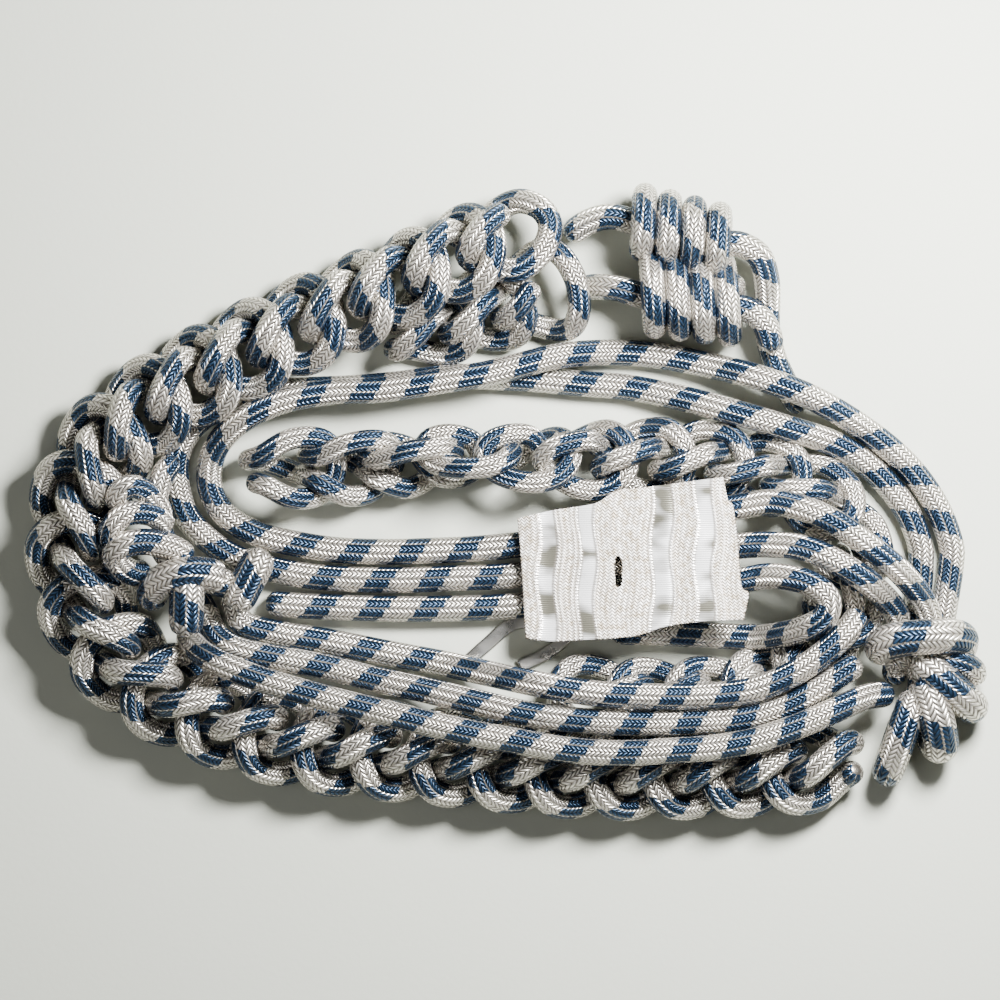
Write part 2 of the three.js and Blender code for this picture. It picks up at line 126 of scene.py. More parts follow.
# The satin's painted sheen, grey patches of painted reflection among white painted glints, and the matt
# weave's
# stains: how many a mm, the satin's across and along the bands, and the noise up to which they are whole and
# from which they are gone
SATIN_SHEEN_PATCHES = (0.06, 0.13)
SATIN_SHEEN_EDGES = (0.42, 0.56)
MATT_STAINS = 0.7
MATT_EDGES = (0.36, 0.64)
# How metallic and how rough the two weaves are
MATT_METAL = 0.3
SATIN_METAL = 0.6
MATT_ROUGH = 0.5
SATIN_ROUGH = 0.3

# The hook, in mm: the middle line of its flat strip, the strip's width and thickness, the way from ring to
# ring, and the points round it
HOOK_LINE = [
    (-8, -38), (-3, -33.5), (2.5, -29), (8, -28.3), (13, -29.6), (15, -31.8), (11, -35.5), (4.5, -38.8),
]
HOOK_WIDE = 3.2
HOOK_THICK = 1.2
HOOK_STEP = 0.7
HOOK_ROUND = 24

# The slide knot: figure of eight turns round its two cords, in mm. Taper is the size of the last turn against
# the first, and thin is the drawn radius of the cord.
SLIDE = {
    "from": (31.5, 55.7), "to": (54.5, 51.5), "z": 10.0, "turns": 4, "lobe": 8.2, "radius": 7.0, "taper": 0.9,
    "thin": 2.85,
}
# Points of a turn, where it starts in its share of the knot's length, and how much of that share it takes, so
# that it ends a little before the next one starts
TURN_STEPS = 12
TURN_START = 0.15
TURN_SHARE = 0.78

# One chain stitch. Along in pitches, across in half widths, height in cord diameters.
STITCH = np.array([
    (0.16, -0.38, -0.20), (0.40, -0.52, 0.51), (0.85, -1.00, 0.53), (1.28, -1.06, 0.05), (1.55, -0.68, -0.38),
    (1.66, 0.00, -0.46), (1.55, 0.68, -0.38), (1.28, 1.06, 0.05), (0.85, 1.00, 0.53), (0.40, 0.52, 0.51),
    (0.16, 0.38, -0.20), (0.26, 0.36, -0.94), (0.60, 0.05, -1.30), (0.97, -0.34, -1.02),
])
# The furthest that a stitch reaches, in pitches
HEAD_AT = STITCH[:, 0].max()

# The picture's width in pixels and its scale, the height of the cords' crests in mm, and in m the camera's
# distance from them and how far the paper reaches each way
PICTURE_WIDE = 1000
PIXELS_PER_MM = 4.33
CREST_HEIGHT = 9
CAMERA_AWAY = 1.5
PAPER_REACH = 3.0
# The room's even light
ROOM_STRENGTH = 0.1
# Lamps: name, place in m, size in m, watts
LAMPS = [
    ("key", (0.16, 0.14, 0.27), 0.1, 10.5),
    ("fill", (-0.34, -0.2, 0.6), 0.5, 1.3),
]

# Middle lines of the plaits: x, y, z in mm, size of the cord laid there in mm, roll in degrees
SPINES = {
    "outer_plait": [
        (84, -59, 7.3, 5.8, 188), (71.5, -61, 7.3, 5.8, 188), (55.5, -62, 7.3, 5.7, 188),
        (37, -62.5, 7.3, 5.7, 188), (18.5, -62.3, 7.3, 5.7, 188), (0, -60.5, 7.4, 5.8, 188),
        (-18.5, -58.5, 7.4, 5.9, 188), (-34.5, -57, 7.5, 6, 188), (-49.5, -54.5, 7.5, 6, 188),
        (-63.5, -50.5, 7.5, 6, 188), (-75.5, -45.5, 7.5, 6, 188), (-86, -38.5, 7.5, 6, 188),
        (-93, -29.5, 7.5, 6, 188), (-97, -18.5, 7.5, 6, 188), (-98, -7, 7.5, 6, 188),
        (-96, 3.5, 7.8, 6, 184), (-90.5, 13.5, 8.8, 6, 172), (-81, 22, 9.8, 6, 162),
        (-69.5, 29, 10, 6, 160), (-58, 35, 10, 6, 160), (-46.5, 40.5, 10, 6, 160),
        (-35, 45.5, 10.5, 6, 158), (-23.5, 50.5, 13.2, 6, 152), (-12, 56, 14.2, 6, 150),
        (-0.5, 60.5, 14, 6, 150), (5.5, 62.4, 13, 5.2, 156), (11, 63.8, 11.4, 3.9, 164),
    ],
    "upper_plait": [
        (-27, 37, 6.3, 5, 188), (-20, 39, 6.3, 5, 188), (-12.5, 41.5, 6.3, 5.1, 188),
        (-3.5, 44, 6.3, 5.2, 188), (6, 46.8, 6.8, 5.8, 188), (18, 50.2, 8.4, 7, 182),
    ],
    "inner_plait": [
        (-60, 6.5, 8.7, 4.8, 0), (-48.5, 7.5, 8.7, 4.8, 8), (-34.5, 8, 8.8, 4.8, 28),
        (-18.5, 9, 9.4, 4.8, 58), (-4.5, 9, 9.4, 4.8, 92), (9, 9.5, 8.6, 4.8, 126),
        (23, 9.5, 7.2, 4.8, 160), (37, 9.5, 6, 4.8, 184), (49.5, 8.8, 6, 4.8, 188), (61, 6.3, 6, 4.8, 188),
        (71, 2.4, 6, 4.8, 188), (77.5, -3.5, 6, 4.8, 188), (81, -10.5, 6, 4.8, 188),
        (81.5, -18.5, 6, 4.8, 188), (78.5, -27, 6, 4.8, 188), (73, -35, 6, 4.8, 188),
        (65, -41, 5.8, 4.6, 188), (53, -44.4, 5.6, 4.4, 188), (39.5, -45.2, 5.5, 4.3, 188),
        (25.5, -44.9, 5.5, 4.3, 188), (13, -43.9, 5.5, 4.3, 188),
    ],
}

# Middle lines of the plain cords: x, y, z in mm
ROUTES = {
    "cord_a": [
        (102.3, -29.8, 3.1), (103.6, -22, 3.1), (104.6, -15, 3.1), (104.5, -10, 3.1), (101, -1, 3.1),
        (94.5, 8, 3.1), (85, 16, 5), (72.5, 23.4, 9.3), (60, 28.2, 9.3), (48.5, 31.2, 4.5),
        (36.5, 33.5, 3.1), (25, 34.2, 3.5), (13, 33.2, 7.1), (-1.5, 29.5, 9.6), (-13.5, 27.5, 9.4),
        (-27, 25.5, 9.4), (-38.5, 25, 9.4), (-50.5, 22.8, 9.4), (-59.5, 18.5, 8.6), (-65, 13.3, 6),
        (-67.3, 7.5, 3.3), (-66.8, 1.5, 3.1), (-63, -4, 3.1), (-56, -8, 3.1), (-48, -10, 3.1),
        (-38.5, -11.5, 3.1), (-27, -12, 3.1), (-15, -11.7, 3.1), (-4.5, -11.2, 3.1), (7, -10, 4),
        (23, -7.5, 6.9), (39.5, -4.5, 10), (55.5, -1.5, 12.9), (63, -0.5, 15), (70.5, -2.2, 18),
        (77.5, -5.5, 19), (84.5, -10.5, 18.5), (92, -16.5, 15.5), (97.8, -23.5, 10.6), (99.8, -29.4, 8.3),
    ],
    "cord_b": [
        (96.1, -29.8, 3.1), (97.1, -22, 3.1), (97.6, -15, 3.1), (97.3, -10, 3.1), (94, -2, 3.1),
        (87.5, 6, 3.1), (78.5, 12.5, 5), (66.5, 16.6, 9), (54.5, 20.2, 9), (42.5, 23.5, 5),
        (30.5, 26, 3.1), (19, 27, 3.1), (8, 28, 3.1), (-1.5, 28.5, 3.1), (-11.5, 28.5, 3.1),
        (-23, 27, 3.1), (-34.5, 26, 3.1), (-46, 25.5, 3.1), (-56.5, 24.5, 3.1), (-65.5, 21.3, 3.1),
        (-71.5, 16.8, 3.1), (-74.8, 10.5, 3.1), (-75, 4, 3.1), (-72.8, -3.5, 3.1), (-67.5, -9.5, 3.1),
        (-60, -14, 3.1), (-48.5, -17, 3.1), (-37, -18.3, 3.1), (-23, -18.6, 3.1), (-11.5, -18.2, 3.1),
        (0, -17.8, 3.1), (14, -16.5, 5), (27.5, -15, 7.5), (44, -12, 10.6), (56.5, -10.5, 12.9),
        (63, -10.3, 15), (69.5, -11, 17.8), (76.5, -13.8, 19.6), (84, -18.5, 18.8), (89.8, -23.8, 12.5),
        (92.8, -28.6, 8.4),
    ],
    "cord_c": [
        (-54.2, -23.9, 3.1), (-45, -24.6, 3.1), (-27.5, -25.2, 3.1), (-14, -25.2, 3.1), (0, -24.8, 3.1),
        (14, -23.5, 5), (27.5, -22, 7.5), (41.5, -20.5, 10.2), (55.5, -18.5, 12.7), (61.5, -17.5, 15),
        (67.5, -18, 18), (72.2, -19.7, 19.1), (75.3, -22.9, 19.4), (74.6, -26.7, 19.1),
        (70.4, -29.4, 17.2), (65, -31, 11.5), (60.5, -31.7, 6.2), (55.5, -31.7, 3.6), (46, -31.2, 3.2),
        (36, -30.8, 3.1), (26, -30.5, 3.1),
    ],
    "cord_l1": [
        (-62.6, -20.6, 3.1), (-61.4, -24.7, 3.1), (-59.2, -28.8, 3.1), (-51, -31, 3.1),
        (-40.4, -32.7, 3.1), (-25.4, -35.6, 3.1), (-13, -37.9, 4), (-3, -40, 9), (8, -42.2, 16),
        (20, -44.2, 18.2), (32, -45, 18.2), (45, -45, 18.2), (57, -43.8, 18.2), (66.2, -40.4, 18.4),
        (73.5, -35.8, 18), (79.2, -30.8, 16.6), (82.9, -25.9, 13.5),
    ],
    "cord_l2": [
        (-70.7, -21.4, 3.1), (-68.8, -24.9, 3.1), (-67.1, -28.3, 3.2), (-65.4, -31.7, 4.8),
        (-61.6, -34.3, 6.9), (-55.4, -35.9, 7.2), (-40.4, -38.6, 6), (-29, -41.5, 5.2),
        (-18.5, -43.7, 7.3), (-6, -46.5, 11.4), (6.5, -49.2, 14.8), (18.5, -50.7, 16.3), (32, -51.3, 16.3),
        (44, -51, 16), (56, -50.1, 15.6), (66, -47.2, 15.4), (73.5, -43.1, 15.6), (79, -39.6, 14.9),
        (82.8, -37.6, 13.6),
    ],
    "cord_l3": [
        (-72.8, -30.4, 5.1), (-70.6, -33.6, 9.5), (-66, -36.8, 15), (-55.4, -41, 18), (-40.4, -45.3, 19),
        (-25.4, -49, 19.5), (-10.4, -52.6, 20), (4.6, -55.4, 20), (15, -57.2, 20), (27, -58, 20),
        (40, -57.4, 20), (51, -56.5, 19.9), (61, -54.4, 19.9), (70, -51.2, 19), (78, -47.8, 16.8),
        (84, -45.5, 13), (88, -45, 10), (90.4, -44.9, 8.4),
    ],
    "cord_k1": [
        (15.5, 61, 7), (20.8, 64.4, 9), (26, 65.4, 10), (32, 63.8, 10), (39, 62.2, 10), (46, 60.6, 10),
        (52, 59.4, 10), (55.9, 58.9, 10), (59.9, 56.3, 9), (61.7, 51, 6.5), (62, 45.5, 4), (62, 39.5, 3.1),
        (63.5, 33, 3.1), (66.5, 26.3, 3.1), (70, 20.6, 3.1),
    ],
    "cord_k2": [
        (19, 49.3, 4), (24, 49.2, 8.5), (28, 48.6, 10), (32, 47.4, 10), (39, 46.4, 10), (46, 45.5, 10),
        (52, 44.6, 10), (56.5, 44.2, 10), (60.2, 41.8, 10), (62.2, 38, 10), (62.8, 34.4, 10),
    ],
}

# Strands of the two tied knots: the drawn radius, then the middle line as x, y, z, all in mm
KNOTS = {
    "left_knot": [
        (3.4, [
            (-79, -6, 9.5), (-77, -12, 9.5), (-72, -16, 9.6), (-66, -18.5, 9.8), (-61, -20, 9.8),
        ]),
        (2.7, [
            (-74.8, 9.6, 10), (-77.4, 6.5, 10.8), (-78.8, 2.5, 11), (-79.5, -1.5, 10), (-78, -5, 9.5),
        ]),
        (2.7, [
            (-88.6, -1.7, 13), (-87.8, 1.6, 15), (-84.8, 3.2, 15), (-81.5, 1.9, 13), (-79, -1, 11),
            (-77.5, -5, 9.5),
        ]),
        (2.8, [
            (-89.6, -10.5, 13.5), (-89.6, -7, 16), (-87.2, -3.9, 16.2), (-83.2, -2.9, 14.6),
            (-79.2, -3.9, 12), (-76.4, -6.6, 9.5),
        ]),
        (3.1, [
            (-80.6, -16, 8.6), (-84, -17, 10.2), (-87.5, -15.2, 13), (-88.6, -12.4, 15.4),
            (-86.2, -10.3, 16.4), (-81.7, -9.6, 15.4), (-76.1, -10.8, 13), (-71.5, -13.6, 10),
        ]),
        (3.8, [
            (-64, -17.9, 10), (-68.5, -16.9, 13), (-73.1, -16.9, 14.8), (-77.6, -18.4, 13.5),
            (-80.2, -21.2, 10.5), (-79, -24, 7.8),
        ]),
        (4.1, [
            (-72.1, -17, 11.5), (-72.1, -22.5, 14.2), (-72.2, -27.4, 14.6), (-72.3, -31, 13.6),
        ]),
        (4, [
            (-54.6, -12, 10), (-56, -14.6, 10.9), (-58, -18.4, 11), (-60, -22.4, 10.6),
            (-61.2, -25.2, 10.4),
        ]),
    ],
    "corner_knot": [
        (3.8, [
            (94, -34.6, 6.5), (97, -38, 7), (98, -43, 7), (96.5, -48, 7),
        ]),
        (4.1, [
            (88, -35.4, 8.6), (88.4, -33.2, 13.6), (92.6, -31.9, 16.4), (98.5, -31.4, 16.4),
            (103.2, -31.3, 14.6), (106.4, -32.2, 10), (105.6, -34.8, 5.6), (101, -36.8, 5), (97, -38.5, 6),
        ]),
        (2.9, [
            (101, -36.4, 9.5), (104, -36.6, 11), (107.4, -37.8, 10), (109.8, -40, 7), (107, -40, 4.6),
            (101, -39, 4.6),
        ]),
        (4, [
            (96.6, -36.9, 10.5), (100, -39.9, 13), (104, -43.4, 13.2), (108, -46.8, 10.5),
            (108.6, -47.4, 6), (103, -43.4, 4.6), (98, -41, 5.6),
        ]),
        (4.2, [
            (97.6, -41.5, 11), (99.6, -47, 12.8), (101, -52, 12), (101.8, -56.6, 8.6), (100.4, -55, 4.8),
            (98.6, -48, 4.8),
        ]),
        (3.7, [
            (96, -44.5, 10), (93.8, -50.5, 11.6), (91.8, -56.5, 11), (89.8, -62.4, 7.8), (90.8, -60, 4.2),
            (94, -51, 4.6), (96, -47, 5.6),
        ]),
        (2.8, [
            (94.6, -38.6, 8.8), (92.6, -36.9, 8.4), (91, -39.2, 6.4), (93, -42, 5.6),
        ]),
        (3.1, [
            (98, -44, 9), (94.6, -44.9, 9.2),
        ]),
    ],
}


def table_shift():
    """The row frame is the tables' frame, moved.
    The tab's box gives the move along x and y, and the hook's its z."""
    low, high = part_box("shoulder_tab")
    edge = np.array(TAB_TOP + TAB_BOTTOM + TAB_LEFT + TAB_RIGHT, float) * MM
    middle = (edge.min(axis=0) + edge.max(axis=0)) / 2
    across, along = (low[0] + high[0]) / 2 - middle[0], (low[1] + high[1]) / 2 - middle[1]
    return np.array([across, along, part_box("tab_hook")[0][2]])


SHIFT = table_shift()


def place_camera():
    """A camera straight above the set, with the photograph's scale at the height of the cords' crests."""
    data = bpy.data.cameras.new("view")
    data.lens = data.sensor_width * CAMERA_AWAY / (PICTURE_WIDE / PIXELS_PER_MM * MM)
    camera = bpy.data.objects.new("view", data)
    camera.location = (SHIFT[0], SHIFT[1], CREST_HEIGHT * MM + CAMERA_AWAY)
    bpy.context.scene.collection.objects.link(camera)
    bpy.context.scene.camera = camera


place_camera()


# Lines and grids

def smooth(points, per=PER_POINT):
    """Catmull-Rom line: between p1 and p2 it is half of
    2 p1 + (p2 - p0) t + (2 p0 - 5 p1 + 4 p2 - p3) t^2 + (3 p1 - p0 - 3 p2 + p3) t^3."""
    points = np.asarray(points, float)
    ends = np.vstack([2 * points[0] - points[1], points, 2 * points[-1] - points[-2]])
    p0, p1, p2, p3 = (ends[i:len(ends) - 3 + i, None] for i in range(4))
    t = (np.arange(per) / per)[None, :, None]
    square, cube = 2 * p0 - 5 * p1 + 4 * p2 - p3, 3 * p1 - p0 - 3 * p2 + p3
    line = 0.5 * (2 * p1 + (p2 - p0) * t + square * t**2 + cube * t**3)
    return np.vstack([line.reshape(-1, points.shape[1]), points[-1:]])


def lengths(line):
    """The length along a line at each of its points."""
    return np.concatenate([[0], np.cumsum(np.linalg.norm(np.diff(line, axis=0), axis=1))])


def sample(line, at):
    """Each column of the line at these lengths along it."""
    along = lengths(line[:, :3])
    return np.stack([np.interp(at, along, column) for column in line.T], axis=1)


def even(line, step):
    """The line again, with a point every step."""
    whole = lengths(line)[-1]
    return sample(line, np.linspace(0, whole, max(3, int(round(whole / step)) + 1)))


def across_frames(line):
    """Two directions square to the line at each point, carried along it without twisting.
    Each side is the one before it less its part along the line, made one long again."""
    onward = np.gradient(line, axis=0)
    onward /= np.linalg.norm(onward, axis=1)[:, None]
    side = np.zeros_like(line)
    start = np.cross((0, 0, 1), onward[0])
    side[0] = start / np.linalg.norm(start) if np.linalg.norm(start) > UPRIGHT else (1, 0, 0)
    for i in range(1, len(line)):
        turned = side[i - 1] - onward[i] * np.dot(side[i - 1], onward[i])
        side[i] = turned / np.linalg.norm(turned)
    return side, np.cross(onward, side)


def make_mesh(name, parts, material):
    """One shown piece out of grids, riding on the root: parts is a list of (points, faces, uv for each face
    corner)."""
    points, faces, uvs, first = [], [], [], 0
    for part_points, part_faces, part_uv in parts:
        points.append(part_points)
        faces += [tuple(corner + first for corner in face) for face in part_faces]
        uvs.append(part_uv)
        first += len(part_points)
    mesh = bpy.data.meshes.new(name)
    mesh.from_pydata(np.vstack(points).tolist(), [], faces)
    layer = mesh.uv_layers.new(name="UVMap")
    layer.data.foreach_set("uv", np.vstack(uvs).astype(np.float32).ravel())
    mesh.polygons.foreach_set("use_smooth", np.ones(len(mesh.polygons), bool))
    mesh.materials.append(material)
    piece = bpy.data.objects.new(name, mesh)
    bpy.context.scene.collection.objects.link(piece)
    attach(piece, "root")
    return piece


def tube_quads(rings, around):
    """The four corners of each face between one ring and the next."""
    i, j = np.meshgrid(np.arange(rings - 1), np.arange(around), indexing="ij")
    after = (j + 1) % around
    ring, onward = i * around, (i + 1) * around
    return np.stack([ring + j, ring + after, onward + after, onward + j], axis=-1)


def closed(quads, rings, around):
    """The faces of a tube, with a face over each of its two ends."""
    faces = [tuple(quad) for quad in quads.reshape(-1, 4).tolist()]
    faces.append(tuple(range(around - 1, -1, -1)))
    faces.append(tuple(range((rings - 1) * around, rings * around)))
    return faces


def cord_part(line, radius, around, start=0.0):
    """A round cord: at length s along the line and turn a round it, the point is
    line(s) + radius * rounding(s) * (side cos a + up sin a). Rounding rises from the tip's share to 1 over
    one radius, as a quarter circle. UV holds the braid's column, 0 to 8, and start + s in mm."""
    side, up = across_frames(line)
    along = lengths(line)
    rings = len(line)
    ending = np.clip(np.minimum(along, along[-1] - along) / radius, 0, 1)
    rounding = TIP_SHARE + (1 - TIP_SHARE) * np.sqrt(1 - (1 - ending) ** 2)
    turn = np.arange(around) / around * 2 * np.pi
    out = side[:, None] * np.cos(turn)[None, :, None] + up[:, None] * np.sin(turn)[None, :, None]
    points = (line[:, None] + radius * rounding[:, None, None] * out).reshape(-1, 3)
    i, j = np.meshgrid(np.arange(rings - 1), np.arange(around), indexing="ij")
    column = np.stack([j, j + 1, j + 1, j], axis=-1) * ROWS_ROUND / around
    mm = (start + np.stack([along[i], along[i], along[i + 1], along[i + 1]], axis=-1)) / MM
    uv = np.stack([column, mm], axis=-1).reshape(-1, 2)
    faces = closed(tube_quads(rings, around), rings, around)
    return points, faces, np.vstack([uv, np.zeros((2 * around, 2))])


def lifted(line, radius):
    """The line, raised where a cord of that radius would reach below the table."""
    line = line.copy()
    line[:, 2] = np.maximum(line[:, 2], radius + FLOOR_GAP * MM)
    return line


def in_frame(points):
    """Table points in mm to the row frame in metres."""
    return np.asarray(points, float) * MM + SHIFT


def plait_line(rows):
    """Stitches laid along a middle line, each of them a chain loop through the one before:
    place(s) + left (side cos roll - rise sin roll) + up (side sin roll + rise cos roll),
    where side is across * half width * size, and rise is height * size."""
    rows = np.asarray(rows, float)
    spine = smooth(rows)
    where = lengths(spine[:, :3])
    whole = where[-1]
    stitches = int(round(whole / STITCH_PITCH - (HEAD_AT - 1)))
    pitch = whole / (stitches + HEAD_AT - 1)
    at = ((np.arange(stitches)[:, None] + STITCH[None, :, 0]) * pitch).ravel().clip(0, whole)
    across = np.tile(STITCH[:, 1], stitches)
    height = np.tile(STITCH[:, 2], stitches)
    onward = np.gradient(spine[:, :3], axis=0)
    onward = np.stack([np.interp(at, where, column) for column in onward.T], axis=1)
    onward /= np.linalg.norm(onward, axis=1)[:, None]
    left = np.stack([-onward[:, 1], onward[:, 0], np.zeros(len(at))], axis=1)
    left /= np.linalg.norm(left, axis=1)[:, None]
    up = np.cross(onward, left)
    share = np.interp(at, where, np.arange(len(where)) / PER_POINT)
    size = np.interp(share, np.arange(len(rows)), rows[:, 3])
    roll = np.radians(np.interp(share, np.arange(len(rows)), rows[:, 4]))
    place = np.stack([np.interp(at, where, column) for column in spine[:, :3].T], axis=1)
    side = across * HALF_WIDTH * size
    rise = height * size
    place += left * (side * np.cos(roll) - rise * np.sin(roll))[:, None]
    place += up * (side * np.sin(roll) + rise * np.cos(roll))[:, None]
    return place


def slide_turns():
    """Figure of eight turns: across is size times the lobe's middle plus radius sin(round), and height is
    z + size radius cos(round). Size shrinks evenly from 1 to the taper's share."""
    (x0, y0), (x1, y1) = SLIDE["from"], SLIDE["to"]
    part = np.linspace(0, 1, TURN_STEPS + 1)
    angle = 2 * np.pi * part
    upper = part <= 0.5
    turned = 2 * np.where(upper, angle, angle - np.pi) - np.pi / 2
    across = np.where(upper, 1, -1) * (SLIDE["lobe"] + SLIDE["radius"] * np.sin(turned))
    rise = SLIDE["radius"] * np.cos(turned)
    strands = []
    for turn in range(SLIDE["turns"]):
        share = (turn + TURN_START + TURN_SHARE * part) / SLIDE["turns"]
        size = 1 + (SLIDE["taper"] - 1) * share
        x = x0 + (x1 - x0) * share
        y = y0 + (y1 - y0) * share + size * across
        strands.append(np.stack([x, y, SLIDE["z"] + size * rise], axis=1))
    return strands


# Materials

MATH = "ShaderNodeMath"
MIX = "ShaderNodeMix"
# A mix node's colour sockets have the same names as its number sockets, so they go by their places.
# Place 0 is its factor.
FROM = 6
TO = 7
MIXED = 2


def linear(text):
    """An sRGB hex colour turned to linear, with the standard's own numbers."""
    parts = np.array([int(text[i:i + 2], 16) for i in (1, 3, 5)]) / 255
    return (*np.where(parts <= 0.04045, parts / 12.92, ((parts + 0.055) / 1.055) ** 2.4), 1.0)


def add(tree, kind, inputs=(), **settings):
    """A node with its settings. Each input is a value, or a node or socket to link, by its place or name."""
    node = tree.nodes.new(kind)
    for key, value in settings.items():
        setattr(node, key, value)
    for key, value in inputs.items() if isinstance(inputs, dict) else enumerate(inputs):
        if isinstance(value, bpy.types.Node):
            value = value.outputs[0]
        if isinstance(value, bpy.types.NodeSocket):
            tree.links.new(value, node.inputs[key])
        else:
            node.inputs[key].default_value = value
    return node


def new_material(name):
    """A material with an empty node tree, and that tree."""
    material = bpy.data.materials.new(name)
    material.use_nodes = True
    material.node_tree.nodes.clear()
    return material, material.node_tree


def braid_material():
    """Silver wire thread braided round a core in eight columns of chevrons, with dark blue silk in steps.
    Its colour is painted light on each thread's crest and dark in the grooves between threads, in the silver
    and
    the blue alike: painted highlight and painted shade. With the gloss it gives the eye bright beads along
    each crest, warm grey between them, and a staircase of blue dashes.
    Along is UV's v in mm. The whole part of its u is the column, and the rest is f:
    threads = along / pitch + lean |f - 1/2|, ridge = 1 - (2 fract(threads) - 1)^2,
    arm = 1 - dip (4 |f - 1/2| - 1)^2, crest = ridge arm,
    blue where fract(along / repeat + (column + f / 2) / 8) < share and
    |f - middle| < half width + spread ridge."""
    material, tree = new_material("silver_wire_and_blue_silk_braid")
    uv = add(tree, "ShaderNodeUVMap", uv_map="UVMap")
    axes = add(tree, "ShaderNodeSeparateXYZ", [uv])
    u, along = axes.outputs[0], axes.outputs[1]
    column = add(tree, MATH, [u], operation="FLOOR")
    f = add(tree, MATH, [u], operation="FRACT")
    off_middle = add(tree, MATH, [f, 0.5], operation="SUBTRACT")
    half = add(tree, MATH, [off_middle], operation="ABSOLUTE")
    lean = add(tree, MATH, [half, THREAD_LEAN], operation="MULTIPLY")
    threads = add(tree, MATH, [along, 1 / THREAD_PITCH, lean], operation="MULTIPLY_ADD")
    thread = add(tree, MATH, [threads], operation="FLOOR")
    over = add(tree, MATH, [threads], operation="FRACT")
    side = add(tree, MATH, [over, 2.0, -1.0], operation="MULTIPLY_ADD")
    ridge = add(tree, MATH, [side, side], operation="MULTIPLY")
    ridge = add(tree, MATH, [1.0, ridge], operation="SUBTRACT")
    arm = add(tree, MATH, [half, 4.0, -1.0], operation="MULTIPLY_ADD")
    arm = add(tree, MATH, [arm, arm], operation="MULTIPLY")
    arm = add(tree, MATH, [arm, -THREAD_DIP, 1.0], operation="MULTIPLY_ADD")
    crest = add(tree, MATH, [ridge, arm], operation="MULTIPLY")
    step = add(tree, MATH, [f, 0.5, column], operation="MULTIPLY_ADD")
    step = add(tree, MATH, [step, 1 / ROWS_ROUND], operation="MULTIPLY")
    step = add(tree, MATH, [along, 1 / FLECK_REPEAT, step], operation="MULTIPLY_ADD")
    step = add(tree, MATH, [step], operation="FRACT")
    in_dash = add(tree, MATH, [step, FLECK_SHARE], operation="LESS_THAN")
    from_dash = add(tree, MATH, [f, FLECK_MIDDLE], operation="SUBTRACT")
    from_dash = add(tree, MATH, [from_dash], operation="ABSOLUTE")
    from_dash = add(tree, MATH, [ridge, -FLECK_SPREAD, from_dash], operation="MULTIPLY_ADD")
    in_column = add(tree, MATH, [from_dash, FLECK_HALF_WIDTH], operation="LESS_THAN")
    blue = add(tree, MATH, [in_dash, in_column], operation="MULTIPLY")
    arm_side = add(tree, MATH, [off_middle], operation="SIGN")
    place = add(tree, "ShaderNodeCombineXYZ", [column, thread, arm_side])
    chance = add(tree, "ShaderNodeTexWhiteNoise", [place], noise_dimensions="3D")
    # Painted shade and painted highlight: silver and navy run from near black in the grooves between threads
    # to light on the crests
    silver_with_painted_shade = add(tree, MIX, {0: crest, FROM: linear("#3f382d"), TO: linear("#f6f0e6")}, data_type="RGBA")
    navy_with_painted_shade = add(tree, MIX, {0: crest, FROM: linear("#030509"), TO: linear("#27405b")}, data_type="RGBA")
    both = {0: blue, FROM: silver_with_painted_shade.outputs[MIXED], TO: navy_with_painted_shade.outputs[MIXED]}
    colour = add(tree, MIX, both, data_type="RGBA").outputs[MIXED]
    metal = add(tree, MATH, [blue, SILK_METAL - WIRE_METAL, WIRE_METAL], operation="MULTIPLY_ADD")
    smoothest, roughest = THREAD_ROUGH
    rough = add(tree, MATH, [chance, roughest - smoothest, smoothest], operation="MULTIPLY_ADD")
    bump = add(tree, "ShaderNodeBump", {"Strength": 1.0, "Distance": THREAD_HIGH * MM, "Height": crest})
    shader = add(tree, "ShaderNodeBsdfPrincipled", {
        "Base Color": colour, "Metallic": metal, "Roughness": rough, "Normal": bump,
        "Specular IOR Level": 0.9,
    })
    add(tree, "ShaderNodeOutputMaterial", [shader])
    return material


def ribs(tree, place, pitch):
    """|sin(pi place / pitch)|: a round rib every pitch."""
    turned = add(tree, MATH, [place, np.pi / pitch], operation="MULTIPLY")
    wave = add(tree, MATH, [turned], operation="SINE")
    return add(tree, MATH, [wave], operation="ABSOLUTE")


